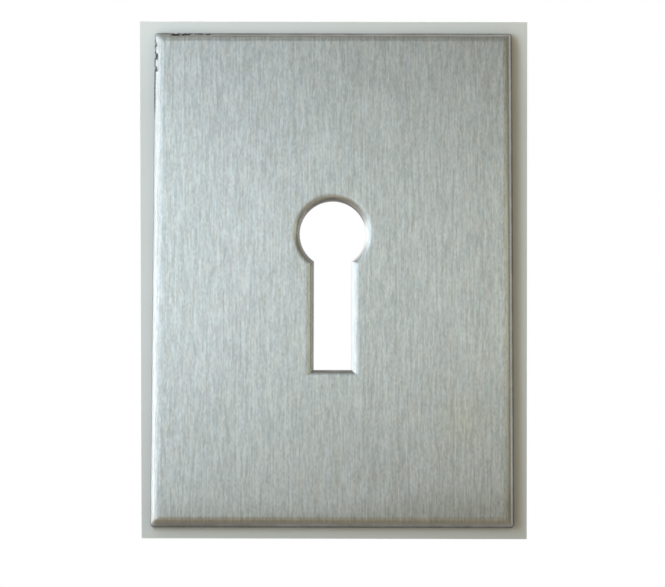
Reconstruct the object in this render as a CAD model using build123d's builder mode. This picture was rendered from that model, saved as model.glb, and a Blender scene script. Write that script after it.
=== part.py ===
"""Keyhole escutcheon: a rectangular cover plate pressed from one piece of brushed stainless sheet.

The rim is turned down all round over a soft bend, so the face stands off the door, and the keyhole's
edge is rolled in over a tighter one. The plate is glued on, so it has no screw holes.

Frame: Z = 0 is the back edge of the rim, which seats on the door. +Z points out of the door, +Y up the
door and +X to the right as seen from the front. The origin is the middle of the rim's outline.
"""

from build123d import *

import os

# Driving dimensions, in millimetres
plate_width = 50.0
plate_height = 69.0
plate_depth = 2.0  # back edge of the rim to the front of the face
sheet = 0.8  # thickness of the metal
rim_bend = 0.6  # inside radius of the bend between the face and the rim
rim_corner = 0.5  # outside radius of the rim's corners, in plan
hollow_corner = 0.1  # inside radius of those corners

eye_diameter = 9.2  # round upper part of the keyhole
eye_rise = 6.1  # its centre, above the middle of the plate
slot_width = 5.2
slot_fall = 12.8  # foot of the slot, below the middle of the plate
lip_bend = 0.3  # inside radius of the keyhole's rolled edge
lip_land = 0.2  # straight wall below that bend

# Nicks in the rim on each side of the top left corner: middle from the corner, length, depth
top_nicks = [
    (2.5, 0.7, 0.15), (3.0, 0.7, 0.26), (3.9, 0.8, 0.20),
    (4.6, 0.7, 0.16), (6.0, 0.9, 0.08), (7.4, 0.6, 0.14),
]
side_nicks = [(1.6, 0.6, 0.12), (2.45, 0.8, 0.12), (3.1, 0.6, 0.27), (3.5, 0.4, 0.22), (5.0, 0.7, 0.18)]

# Worked-out dimensions
back_of_face = plate_depth - sheet
lip_depth = lip_bend + sheet + lip_land  # front of the face to the foot of the keyhole's rolled edge
slot_length = eye_rise + slot_fall


def press(pan, bend, corner):
    """Rounds the pan being built: the edges round its top face, then its corners."""
    fillet(pan.faces().sort_by(Axis.Z)[-1].edges(), bend)
    fillet(pan.edges().filter_by(Axis.Z), corner)


def keyhole(grow=0.0):
    """Draws the keyhole in the open sketch, with its outline moved outwards by grow."""
    with Locations((0, eye_rise)):
        Circle(eye_diameter / 2 + grow)
        Rectangle(slot_width + 2 * grow, slot_length + grow, align=(Align.CENTER, Align.MAX))


def nick(x, y, facing, length, depth):
    """Cuts an upright scallop into the rim at a point where it faces this many degrees round from +Y."""
    radius = (length**2 / 4 + depth**2) / (2 * depth)
    with Locations(Location((x, y), facing)):
        with Locations((0, radius - depth)):
            Cylinder(radius, plate_depth, align=(Align.CENTER, Align.CENTER, Align.MIN), mode=Mode.SUBTRACT)


# Hollow behind the face: the outside moved in by the sheet, less the metal round the keyhole
with BuildPart() as hollow:
    with BuildSketch():
        Rectangle(plate_width - 2 * sheet, plate_height - 2 * sheet)
    extrude(amount=back_of_face)
    press(hollow, rim_bend, hollow_corner)
    with BuildSketch(Plane.XY.offset(plate_depth - lip_depth)):
        keyhole(grow=sheet)
    extrude(amount=lip_depth - sheet, mode=Mode.SUBTRACT)
    fillet(hollow.faces().sort_by(Axis.Z)[-1].inner_wires()[0].edges(), lip_bend)

# Plate: the pressed outside, hollowed from the back, then pierced and rolled in at the keyhole
with BuildPart() as plate:
    with BuildSketch():
        Rectangle(plate_width, plate_height)
    extrude(amount=plate_depth)
    press(plate, rim_bend + sheet, rim_corner)
    add(hollow.part, mode=Mode.SUBTRACT)
    with BuildSketch():
        keyhole()
    extrude(amount=plate_depth, mode=Mode.SUBTRACT)
    fillet(plate.faces().sort_by(Axis.Z)[-1].inner_wires()[0].edges(), lip_bend + sheet)
    for along, length, depth in top_nicks:
        nick(along - plate_width / 2, plate_height / 2, 0, length, depth)
    for along, length, depth in side_nicks:
        nick(-plate_width / 2, plate_height / 2 - along, 90, length, depth)

plate.part.label = "escutcheon_plate"

os.makedirs("parts", exist_ok=True)
export_step(plate.part, "parts/escutcheon_plate.step")
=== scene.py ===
"""Keyhole escutcheon: its brushed finish, and a plain studio to see it in.

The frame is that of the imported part, in metres: the plate lies on its rim at Z = 0, its face looks
up +Z, and the brushing runs along Y. The named lengths below and the finish are in millimetres.
"""

import math

import bpy
from mathutils import Matrix, Vector


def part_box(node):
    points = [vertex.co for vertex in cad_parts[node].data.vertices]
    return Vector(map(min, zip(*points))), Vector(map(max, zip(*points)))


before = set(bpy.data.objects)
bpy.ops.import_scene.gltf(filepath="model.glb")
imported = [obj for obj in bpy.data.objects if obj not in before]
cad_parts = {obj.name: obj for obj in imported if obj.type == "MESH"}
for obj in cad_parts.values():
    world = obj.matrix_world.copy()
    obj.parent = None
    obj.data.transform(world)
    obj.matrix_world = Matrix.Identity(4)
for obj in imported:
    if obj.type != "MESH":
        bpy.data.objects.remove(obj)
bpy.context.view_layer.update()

MM = 0.001

# Brush lines: width, length, number of the first line, and share of the tone
BRUSHING = [(0.19, 0.38, 100.0, 0.36), (0.20, 1.4, 900.0, 0.36), (0.21, 4.4, 1700.0, 0.28)]
START_ROW = 500.0  # row of random values that sets where each line begins
BRUSHED_FACING, BEND_CONTRAST = (0.70, 0.98), 0.25  # what is left of their contrast on the bends
DARK_TONE, DARK_STEEL = 0.14, (0.475, 0.48, 0.475)
LIGHT_TONE, LIGHT_STEEL = 0.86, (0.725, 0.73, 0.725)

# Slow changes of tone, and a mottle of cooler and warmer steel
SLOW_NOISE, SLOW_SHARE = {"size": (4.0, 14.0), "detail": 2.0, "shift": 91.0}, 0.12
MOTTLE_NOISE, MOTTLE_RANGE = {"size": (1.3, 2.6), "detail": 1.0, "shift": 53.0}, (0.3, 0.7)
COOL, WARM = (0.985, 1.0, 1.015), (1.015, 1.0, 0.985)

# Painted shade along the foot of the face, wider towards the right
FOOT_FULL, FOOT_END = 0.8, 3.8  # heights above the foot
FOOT_WIDENING = 0.1  # for each millimetre to the right of the middle
FOOT_PAINTED_SHADE = (0.84, 0.83, 0.81)

# Faint yellowish smudge low on the face
SMUDGE_PLACE = (18.0, -20.0)
SMUDGE_REACH, SMUDGE_STRENGTH = 4.5, 0.7
SMUDGE_TINT = (0.98, 0.96, 0.86)

# Painted shade on the start of the bends that look left, by how far they have turned
LEFT_BEND_SHADE_IN, LEFT_BEND_SHADE_OUT = (-0.08, -0.20), (-0.42, -0.28)
LEFT_BEND_SHADE_TINT = (0.87, 0.87, 0.87)

# Painted shade on the turned edges, by how far they have turned, and none where a surface looks down
EDGE_SHADE_FACING, EDGE_SHADE_DOWN = (0.86, 0.64), (-0.3, -0.1)
EDGE_SHADE_LEFT, EDGE_SHADE_RIGHT = -0.45, 0.12  # how much less painted shade an edge gets for looking left or right
EDGE_SHADE_NOISE = {"size": (3.0, 3.0), "detail": 3.0, "shift": 17.0}
EDGE_SHADE_RANGE, EDGE_SHADE_COVER = (0.35, 0.65), (0.68, 0.82)
EDGE_SHADE = (0.075, 0.068, 0.052)

# Painted highlight on the steep part of the keyhole's lip, where it looks left and up the plate
LIP_REACH, LIP_FACING = (14.0, 10.0), (0.56, 0.77)
LIP_LEFT, LIP_UP = -0.9, 0.45
LIP_HIGHLIGHT = (0.88, 0.88, 0.88)

# Roughness of the face, of the bends, and of the bends that look left and right
FACE_FACING, FACE_ROUGHNESS = (0.90, 1.0), 0.44
BEND_ROUGHNESS, LEFT_ROUGHNESS, RIGHT_ROUGHNESS = 0.40, 0.37, 0.20
LEFT_FACING, RIGHT_FACING = (-0.7, -0.2), (0.2, 0.7)

# Brushed sheen, and fine scratches on the flat
ANISOTROPY = 0.85
SCRATCH_NOISE = {"size": (0.25, 8.0), "detail": 2.0, "shift": 37.0}
SCRATCH_STRENGTH, SCRATCH_DEPTH = 0.06, 0.01

# Near-black marks in the nicked edges: middle from the top left corner, length, reach, strength
TOP_MARKS = [
    (1.5, 1.5, 0.22, 0.6), (2.95, 1.1, 0.64, 1.0), (4.4, 1.25, 0.58, 1.0),
    (6.2, 1.0, 0.46, 0.85), (7.49, 0.62, 0.54, 1.0),
]
SIDE_MARKS = [
    (1.2, 0.3, 0.34, 0.75), (1.85, 0.5, 0.44, 0.85), (3.5, 0.85, 0.60, 0.9),
    (5.25, 0.7, 0.5, 0.85), (6.3, 10.2, 0.29, 0.75),
]
RAGGED_NOISE = {"size": (0.3, 0.3), "detail": 2.0, "shift": 0.0}
RAGGED_ALONG, RAGGED_INSET = 0.2, 0.12  # how far it moves the marks, both ways
MARK_FADE = 0.12  # at a mark's ends, for each millimetre of its length, counted as one at least
MARK_SOFTNESS = 0.1  # at its inner edge
NICK_BLACK, NICK_BLACK_ROUGHNESS = (0.012, 0.011, 0.010), 0.3

# White floor, with a pale area round the plate and a white gap below the keyhole
FLOOR_SIZE = 3000.0
CARD_BOTTOM, CARD_TOP = -36.0, 36.3
CARD_FOOT, CARD_HEAD = (-26.2, 26.75), (-27.15, 27.2)  # left and right ends of those edges
CARD_SHADES = (0.73, 0.81, 0.94)  # at the foot, in the middle and at the head of the pale area, for painted shade at the foot and painted light at the head
CARD_EVEN = (-10.0, 24.0)  # where it has the middle shade
GAP_WIDTH, GAP_HEIGHT = 14.0, 32.0
GROUND = (0.80, 0.80, 0.80)
WHITE = (1.0, 1.0, 1.0)

# Soft lamps: name, middle, width, height, and radiance in red, green and blue
PANELS = [
    ("key", (-80, 17, 114), 104, 194, (3.96, 4.75, 5.32)),
    ("window", (-320, 5, 30), 40, 521, (17.7, 19.1, 20.3)),
    ("back", (-160, 196, 156), 63, 432, (6.50, 7.75, 8.60)),
    ("side", (119, 19, 160), 222, 111, (1.22, 1.26, 1.01)),
    ("front", (-30, -98, 160), 200, 150, (0.72, 0.69, 0.62)),
]

# Sky: its even light, and what it adds towards the front
SKY_EVEN, SKY_FRONT = (0.205, 0.18, 0.115), (0.235, 0.215, 0.185)

# Camera, with its angles in degrees
CAMERA_TARGET, CAMERA_DISTANCE = (-0.03, -2.07, 0.0), 400.0
CAMERA_TILT, CAMERA_LEAN, CAMERA_ROLL = -6.52, 0.18, 0.14
CAMERA_SENSOR, CAMERA_LENS = 36.0, 156.0
CAMERA_NEAR, CAMERA_FAR = 10.0, 20000.0


class Tree:
    """The nodes of one material, lamp or world, added one call at a time."""

    def __init__(self, owner):
        owner.use_nodes = True
        self.tree = owner.node_tree
        self.tree.nodes.clear()

    def node(self, kind, inputs=None, **settings):
        made = self.tree.nodes.new("ShaderNode" + kind)
        for name, value in settings.items():
            setattr(made, name, value)
        for socket, value in (inputs or {}).items():
            if isinstance(value, bpy.types.NodeSocket):
                self.tree.links.new(value, made.inputs[socket])
            else:
                made.inputs[socket].default_value = value
        return made

    def math(self, operation, a, b=0.0, c=0.0):
        return self.node("Math", {0: a, 1: b, 2: c}, operation=operation).outputs[0]

    def ramp(self, value, low, high, to_low=0.0, to_high=1.0):
        inputs = {"Value": value, "From Min": low, "From Max": high, "To Min": to_low, "To Max": to_high}
        return self.node("MapRange", inputs, clamp=True).outputs["Result"]

    def mix(self, factor, a, b, blend="MIX"):
        colours = [c if isinstance(c, bpy.types.NodeSocket) else (*c, 1) for c in (a, b)]
        inputs = {0: factor, 6: colours[0], 7: colours[1]}
        return self.node("Mix", inputs, data_type="RGBA", blend_type=blend).outputs[2]

    def chance(self, column, row):
        """A random value for a pair of whole numbers."""
        place = self.node("CombineXYZ", {"X": column, "Y": row})
        drawn = self.node("TexWhiteNoise", {"Vector": place.outputs[0]}, noise_dimensions="2D")
        return drawn.outputs["Value"]

    def lines(self, u, v, width, length, first):
        """Straight lines along v, each easing from one random tone to the next."""
        column = self.math("FLOOR", self.math("MULTIPLY_ADD", u, 1 / width, first))
        run = self.math("MULTIPLY_ADD", v, 1 / length, self.chance(column, START_ROW))
        row = self.math("FLOOR", run)
        inputs = {"Value": self.math("SUBTRACT", run, row)}
        part = self.node("MapRange", inputs, interpolation_type="SMOOTHSTEP").outputs["Result"]
        here = self.chance(column, row)
        there = self.chance(column, self.math("ADD", row, 1.0))
        return self.math("MULTIPLY_ADD", self.math("SUBTRACT", there, here), part, here)

    def noise(self, u, v, size, detail, shift):
        """Noise on a flat pair of coordinates, with features of about this width and length."""
        width, length = size
        place = self.node("CombineXYZ", {
            "X": self.math("MULTIPLY_ADD", u, 1 / width, shift),
            "Y": self.math("MULTIPLY", v, 1 / length),
        })
        inputs = {"Vector": place.outputs[0], "Scale": 1.0, "Detail": detail}
        return self.node("TexNoise", inputs, noise_dimensions="2D").outputs["Fac"]


def edge_marks(tree, along, inset, marks):
    """How much near-black marking covers a point, from its place along one edge and its distance in from
    it.
    """
    ragged = tree.noise(along, inset, **RAGGED_NOISE)
    along = tree.math("MULTIPLY_ADD", ragged, 2 * RAGGED_ALONG, tree.math("SUBTRACT", along, RAGGED_ALONG))
    inset = tree.math("MULTIPLY_ADD", ragged, 2 * RAGGED_INSET, tree.math("SUBTRACT", inset, RAGGED_INSET))
    total = None
    for middle, length, reach, strength in marks:
        off = tree.math("ABSOLUTE", tree.math("SUBTRACT", along, middle))
        fade = MARK_FADE * max(length, 1.0)
        here = tree.ramp(off, length / 2 + fade, length / 2 - fade, 0.0, strength)
        near = tree.ramp(inset, reach, reach - MARK_SOFTNESS)
        mark = tree.math("MULTIPLY", here, near)
        total = mark if total is None else tree.math("MAXIMUM", total, mark)
    return total


def brushed_stainless():
    """Stainless steel, brushed along Y, with the lines running on over every bend."""
    low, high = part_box("escutcheon_plate")
    left, bottom = low[0] / MM, low[1] / MM
    top, front = high[1] / MM, high[2] / MM
    material = bpy.data.materials.new("brushed_stainless")
    tree = Tree(material)
    coordinates = tree.node("TexCoord").outputs
    scale = tree.node("VectorMath", {0: coordinates["Object"], "Scale": 1 / MM}, operation="SCALE")
    scaled = scale.outputs[0]
    place = tree.node("SeparateXYZ", {0: scaled}).outputs
    facing = tree.node("SeparateXYZ", {0: coordinates["Normal"]}).outputs

    # Distances across and along the brushing, carried over the bends by the way the surface faces
    drop = tree.math("SUBTRACT", front, place["Z"])
    across = tree.math("MULTIPLY_ADD", drop, facing["X"], place["X"])
    along = tree.math("MULTIPLY_ADD", drop, facing["Y"], place["Y"])

    # Brush lines of three lengths, weaker over the bends, on slow changes of tone
    grain = 0.0
    for width, length, first, share in BRUSHING:
        grain = tree.math("MULTIPLY_ADD", tree.lines(across, along, width, length, first), share, grain)
    contrast = tree.ramp(facing["Z"], *BRUSHED_FACING, BEND_CONTRAST, 1.0)
    tone = tree.math("MULTIPLY_ADD", tree.math("SUBTRACT", grain, 0.5), contrast, 0.5)
    slow = tree.noise(across, along, **SLOW_NOISE)
    tone = tree.math("MULTIPLY_ADD", tree.math("SUBTRACT", slow, 0.5), SLOW_SHARE, tone)
    steel = tree.node("ValToRGB", {"Fac": tone})
    dark, light = steel.color_ramp.elements
    dark.position, dark.color = DARK_TONE, (*DARK_STEEL, 1)
    light.position, light.color = LIGHT_TONE, (*LIGHT_STEEL, 1)

    # Mottle, painted shade along the foot, smudge and painted shade on the bends that look left, each a
    # tint over the one before
    hue = tree.noise(across, along, **MOTTLE_NOISE)
    tint = tree.mix(tree.ramp(hue, *MOTTLE_RANGE), COOL, WARM)
    # Painted shade along the foot of the face
    rise = tree.math("SUBTRACT", place["Y"], bottom)
    widening = tree.math("MULTIPLY", tree.math("MAXIMUM", place["X"], 0.0), FOOT_WIDENING)
    foot = tree.ramp(tree.math("SUBTRACT", rise, widening), FOOT_FULL, FOOT_END)
    tint = tree.mix(foot, FOOT_PAINTED_SHADE, tint)
    off = tree.node("VectorMath", {0: scaled, 1: (*SMUDGE_PLACE, front)}, operation="DISTANCE")
    smudge = tree.ramp(off.outputs["Value"], SMUDGE_REACH, 0.0, 0.0, SMUDGE_STRENGTH)
    tint = tree.mix(smudge, tint, SMUDGE_TINT)
    # Painted shade on the start of the bends that look left
    left_bend_shade = tree.math("MINIMUM", tree.ramp(facing["X"], *LEFT_BEND_SHADE_IN), tree.ramp(facing["X"], *LEFT_BEND_SHADE_OUT))
    tint = tree.mix(left_bend_shade, tint, LEFT_BEND_SHADE_TINT)
    colour = tree.mix(1.0, steel.outputs["Color"], tint, blend="MULTIPLY")

    # Painted shade in patches down the turned edges, least on those that look left
    uneven = tree.noise(place["X"], place["Y"], **EDGE_SHADE_NOISE)
    shade_relief = tree.math(
        "MAXIMUM",
        tree.math("MULTIPLY", facing["X"], EDGE_SHADE_LEFT),
        tree.math("MULTIPLY", facing["X"], EDGE_SHADE_RIGHT),
    )
    unshaded = tree.math("ADD", facing["Z"], shade_relief)
    cover = tree.ramp(uneven, *EDGE_SHADE_RANGE, *EDGE_SHADE_COVER)
    edge_shade = tree.math("MULTIPLY", tree.ramp(unshaded, *EDGE_SHADE_FACING), cover)
    edge_shade = tree.math("MULTIPLY", edge_shade, tree.ramp(facing["Z"], *EDGE_SHADE_DOWN))

    # Painted highlight on the keyhole's lip, with no painted edge shade there
    within = tree.ramp(tree.math("ABSOLUTE", place["X"]), *LIP_REACH)
    aside = tree.math("MULTIPLY_ADD", facing["Y"], LIP_UP, tree.math("MULTIPLY", facing["X"], LIP_LEFT))
    lip_highlight = tree.math("MULTIPLY", within, tree.ramp(aside, *LIP_FACING))
    edge_shade = tree.math("MULTIPLY", edge_shade, tree.math("SUBTRACT", 1.0, lip_highlight))
    colour = tree.mix(lip_highlight, colour, LIP_HIGHLIGHT)
    # Painted shade on the turned edges
    colour = tree.mix(edge_shade, colour, EDGE_SHADE)

    # Bends smoother than the face, most of all those that look right
    bend = tree.math(
        "MINIMUM",
        tree.ramp(facing["X"], *LEFT_FACING, LEFT_ROUGHNESS, BEND_ROUGHNESS),
        tree.ramp(facing["X"], *RIGHT_FACING, BEND_ROUGHNESS, RIGHT_ROUGHNESS),
    )
    flat = tree.ramp(facing["Z"], *FACE_FACING)
    roughness = tree.math("MULTIPLY_ADD", flat, tree.math("SUBTRACT", FACE_ROUGHNESS, bend), bend)

    # Near-black marks in the nicks on both sides of the top left corner
    from_left = tree.math("SUBTRACT", place["X"], left)
    from_top = tree.math("SUBTRACT", top, place["Y"])
    nick_black = tree.math(
        "MAXIMUM",
        edge_marks(tree, from_left, from_top, TOP_MARKS),
        edge_marks(tree, from_top, from_left, SIDE_MARKS),
    )

    # Scratches that stand out on the flat and fade over the bends
    scratches = tree.noise(across, along, **SCRATCH_NOISE)
    bump = tree.node("Bump", {
        "Height": scratches,
        "Strength": tree.ramp(facing["Z"], *FACE_FACING, 0.0, SCRATCH_STRENGTH),
        "Distance": SCRATCH_DEPTH * MM,
    })
    tangent = tree.node("CombineXYZ", {
        "X": tree.math("MULTIPLY_ADD", facing["Y"], facing["Y"], facing["Z"]),
        "Z": tree.math("MULTIPLY", facing["X"], -1.0),
    })
    shader = tree.node("BsdfPrincipled", {
        "Base Color": tree.mix(nick_black, colour, NICK_BLACK),
        "Metallic": tree.math("SUBTRACT", 1.0, nick_black),
        "Roughness": tree.math("MULTIPLY_ADD", nick_black, NICK_BLACK_ROUGHNESS, roughness),
        "Anisotropic": ANISOTROPY,
        "Tangent": tangent.outputs[0],
        "Normal": bump.outputs["Normal"],
    })
    tree.node("OutputMaterial", {"Surface": shader.outputs[0]})
    return material


def pale_paper():
    """Matt paper, with painted shade towards its foot and painted light towards its head."""
    material = bpy.data.materials.new("pale_paper")
    tree = Tree(material)
    place = tree.node("SeparateXYZ", {0: tree.node("TexCoord").outputs["Object"]}).outputs
    foot, middle, head = CARD_SHADES
    below = tree.ramp(place["Y"], CARD_BOTTOM * MM, CARD_EVEN[0] * MM, foot, middle)
    above = tree.ramp(place["Y"], CARD_EVEN[1] * MM, CARD_TOP * MM, 0.0, head - middle)
    shader = tree.node("BsdfDiffuse", {"Color": tree.math("ADD", below, above)})
    tree.node("OutputMaterial", {"Surface": shader.outputs[0]})
    return material


def white_ground():
    """Matt paper that looks plain white to the camera and in reflections."""
    material = bpy.data.materials.new("white_ground")
    tree = Tree(material)
    rays = tree.node("LightPath").outputs
    mirrored = tree.math("MAXIMUM", rays["Is Glossy Ray"], rays["Is Transmission Ray"])
    seen = tree.math("MAXIMUM", rays["Is Camera Ray"], mirrored)
    matt = tree.node("BsdfDiffuse", {"Color": (*GROUND, 1)})
    white = tree.node("Emission", {"Color": (*WHITE, 1), "Strength": 1.0})
    shader = tree.node("MixShader", {0: seen, 1: matt.outputs[0], 2: white.outputs[0]})
    tree.node("OutputMaterial", {"Surface": shader.outputs[0]})
    return material


def make_floor():
    """A white floor, pale on a card-sized area under the plate but white again below the keyhole."""
    half, gap_x, gap_y = FLOOR_SIZE / 2, GAP_WIDTH / 2, GAP_HEIGHT / 2
    heights = (-half, CARD_BOTTOM, -gap_y, gap_y, CARD_TOP, half)
    corners = []
    for y in heights:
        rise = min(max((y - CARD_BOTTOM) / (CARD_TOP - CARD_BOTTOM), 0), 1)
        left, right = (foot + rise * (head - foot) for foot, head in zip(CARD_FOOT, CARD_HEAD))
        corners += [(x * MM, y * MM, 0) for x in (-half, left, -gap_x, gap_x, right, half)]
    side = len(heights)
    cells = [(row, column) for row in range(side - 1) for column in range(side - 1)]
    faces = []
    for row, column in cells:
        first = side * row + column
        faces.append((first, first + 1, first + side + 1, first + side))
    mesh = bpy.data.meshes.new("floor")
    mesh.from_pydata(corners, [], faces)
    mesh.materials.append(white_ground())
    mesh.materials.append(pale_paper())

    # The pale area is the three by three cells inside the border, apart from the middle one
    for face, (row, column) in zip(mesh.polygons, cells):
        inside = 1 <= row <= 3 and 1 <= column <= 3
        face.material_index = int(inside and (row, column) != (2, 2))
    floor = bpy.data.objects.new("floor", mesh)
    bpy.context.scene.collection.objects.link(floor)


def upright(back):
    """A turn whose third axis is this direction and whose second stays as near to +Y as it can."""
    right = Vector((0, 1, 0)).cross(back).normalized()
    return Matrix((right, back.cross(right), back)).transposed()


def make_panel(name, middle, width, height, radiance):
    """A panel that looks at the plate, brightest in its middle and fading to nothing at its edges."""
    panel = bpy.data.lights.new(name, "AREA")
    panel.shape = "RECTANGLE"
    panel.size, panel.size_y = width * MM, height * MM
    level = max(radiance)
    panel.color = [part / level for part in radiance]
    panel.energy = level * math.pi * panel.size * panel.size_y
    tree = Tree(panel)
    place = tree.node("SeparateXYZ", {0: tree.node("NewGeometry").outputs["Parametric"]}).outputs
    waves = [tree.math("SINE", tree.math("MULTIPLY", place[axis], math.pi)) for axis in ("X", "Y")]
    fall = tree.math("POWER", tree.math("MULTIPLY", *waves), 2.0)
    tree.node("OutputLight", {0: tree.node("Emission", {"Strength": fall}).outputs[0]})
    made = bpy.data.objects.new(name, panel)
    turn = upright(Vector(middle).normalized())
    made.matrix_world = Matrix.Translation(Vector(middle) * MM) @ turn.to_4x4()
    bpy.context.scene.collection.objects.link(made)


def make_world():
    """An even sky, with more light from the front."""
    world = bpy.data.worlds.new("studio")
    bpy.context.scene.world = world
    tree = Tree(world)
    towards = tree.node("SeparateXYZ", {0: tree.node("TexCoord").outputs["Generated"]}).outputs
    level = tree.math("MAXIMUM", tree.math("MULTIPLY", towards["Y"], -1.0), 0.0)
    total = tree.node("VectorMath", {0: SKY_FRONT, 1: level, 2: SKY_EVEN}, operation="MULTIPLY_ADD")
    light = tree.node("Background", {"Color": total.outputs[0], "Strength": 1.0})
    tree.node("OutputWorld", {"Surface": light.outputs[0]})


def make_camera():
    """The photograph's view: from above, tilted a little towards the foot of the plate."""
    tilt, lean, roll = (math.radians(angle) for angle in (CAMERA_TILT, CAMERA_LEAN, CAMERA_ROLL))
    back = Vector((math.sin(lean), math.sin(tilt), 0))
    back.z = math.sqrt(1 - back.length_squared)
    data = bpy.data.cameras.new("camera")
    data.sensor_width, data.lens = CAMERA_SENSOR, CAMERA_LENS
    data.clip_start, data.clip_end = CAMERA_NEAR * MM, CAMERA_FAR * MM
    camera = bpy.data.objects.new("camera", data)
    place = (Vector(CAMERA_TARGET) + back * CAMERA_DISTANCE) * MM
    turn = upright(back) @ Matrix.Rotation(roll, 3, "Z")
    camera.matrix_world = Matrix.Translation(place) @ turn.to_4x4()
    bpy.context.scene.collection.objects.link(camera)
    bpy.context.scene.camera = camera


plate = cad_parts["escutcheon_plate"]
plate.material_slots[0].material = brushed_stainless()

make_floor()
for panel in PANELS:
    make_panel(*panel)
make_world()
make_camera()
bpy.context.scene.view_settings.view_transform = "Standard"
